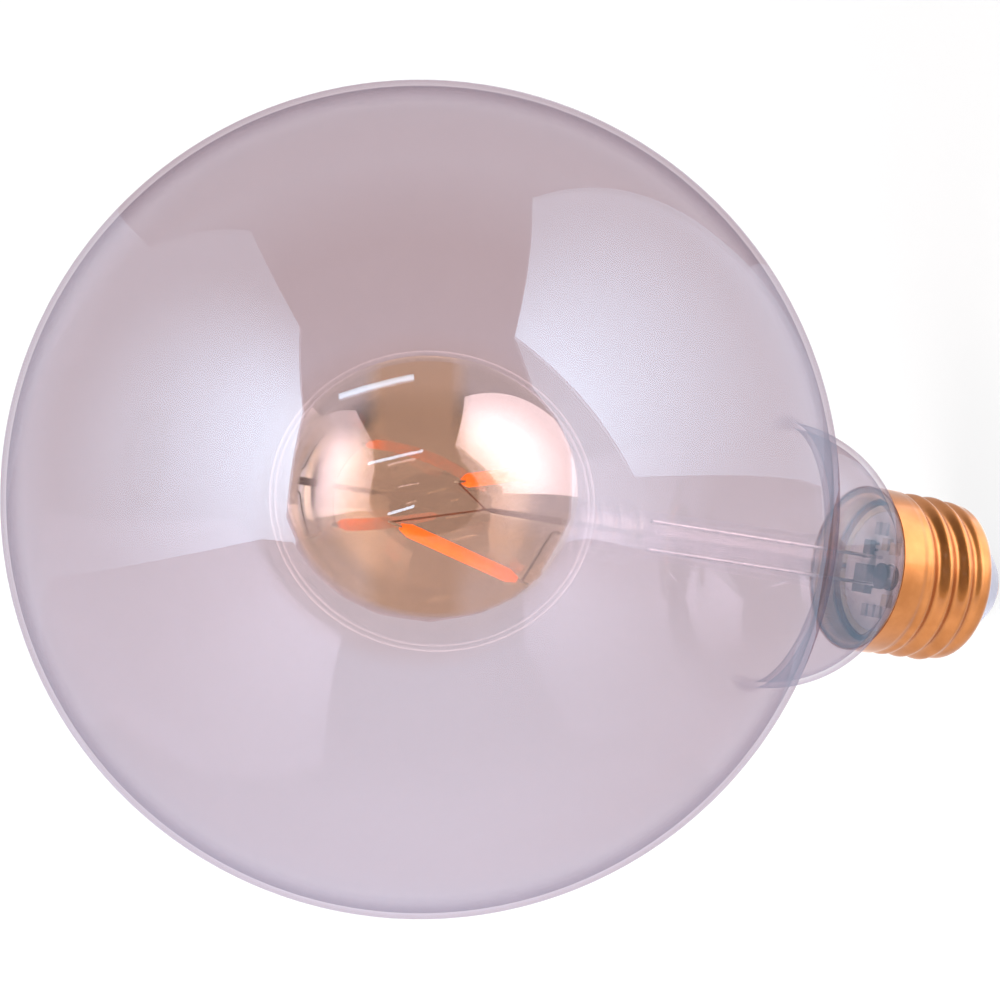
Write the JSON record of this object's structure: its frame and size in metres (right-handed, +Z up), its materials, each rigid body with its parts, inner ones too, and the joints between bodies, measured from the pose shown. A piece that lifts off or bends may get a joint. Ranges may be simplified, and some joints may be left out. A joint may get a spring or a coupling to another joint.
{
  "type": "globe bulb",
  "caption": "Large clear globe bulb on a screw cap, with glowing filaments held in a small amber ball inside it.",
  "frame": {"origin": "tip of the centre contact, on the bulb's axis", "axes": "+Z up the bulb's axis from the cap to the crown of the globe, the first filament in the XZ plane"},
  "size_m": [0.125, 0.125, 0.168],
  "materials": {
    "globe_glass": "clear blown glass with a light smoky pearl lustre",
    "amber_glass": "amber half-mirrored glass",
    "stem_glass": "clear drawn glass",
    "phosphor": "glowing orange silicone phosphor coat",
    "steel_tab": "bright nickel-plated steel",
    "dark_wire": "oxidised wire",
    "brown_strip": "brown oxidised strip",
    "pale_wire": "tinned wire",
    "board": "pale solder mask",
    "ferrite": "dark ferrite",
    "chip_black": "moulded black resin",
    "chip_ceramic": "fired ceramic",
    "can": "drawn can",
    "bung": "moulded",
    "film_box": "moulded box",
    "resistor_coat": "dipped enamel",
    "sleeve": "moulded grey plastic",
    "cap_brass": "bright rolled brass",
    "cement": "cured basing cement",
    "pale_insulator": "pale glassy insulator",
    "contact_brass": "pressed disc",
    "solder": "tin solder"
  },
  "bodies": {
    "root": {"outer_globe": "globe_glass", "inner_ball": "amber_glass", "stem": "stem_glass", "exhaust_tube": "stem_glass", "filament_1": "phosphor", "filament_2": "phosphor", "filament_tabs": "steel_tab", "hub_wire": "dark_wire", "support_strip": "brown_strip", "lead_wire_1": "dark_wire", "lead_wire_2": "dark_wire", "supply_wire_1": "dark_wire", "supply_wire_2": "dark_wire", "driver_board": "board", "drum_inductor": "ferrite", "bridge_rectifier": "chip_black", "current_regulator": "chip_black", "chip_resistors": "chip_black", "chip_capacitors": "chip_ceramic", "smoothing_capacitor": "can", "capacitor_bung": "bung", "film_capacitor": "film_box", "fuse_resistor": "resistor_coat", "board_sleeve": "sleeve", "screw_shell": "cap_brass", "basing_cement": "cement", "cap_insulator": "pale_insulator", "centre_contact": "contact_brass", "solder_button": "solder", "centre_lead": "pale_wire", "side_lead": "pale_wire"}
  },
  "joints": []
}
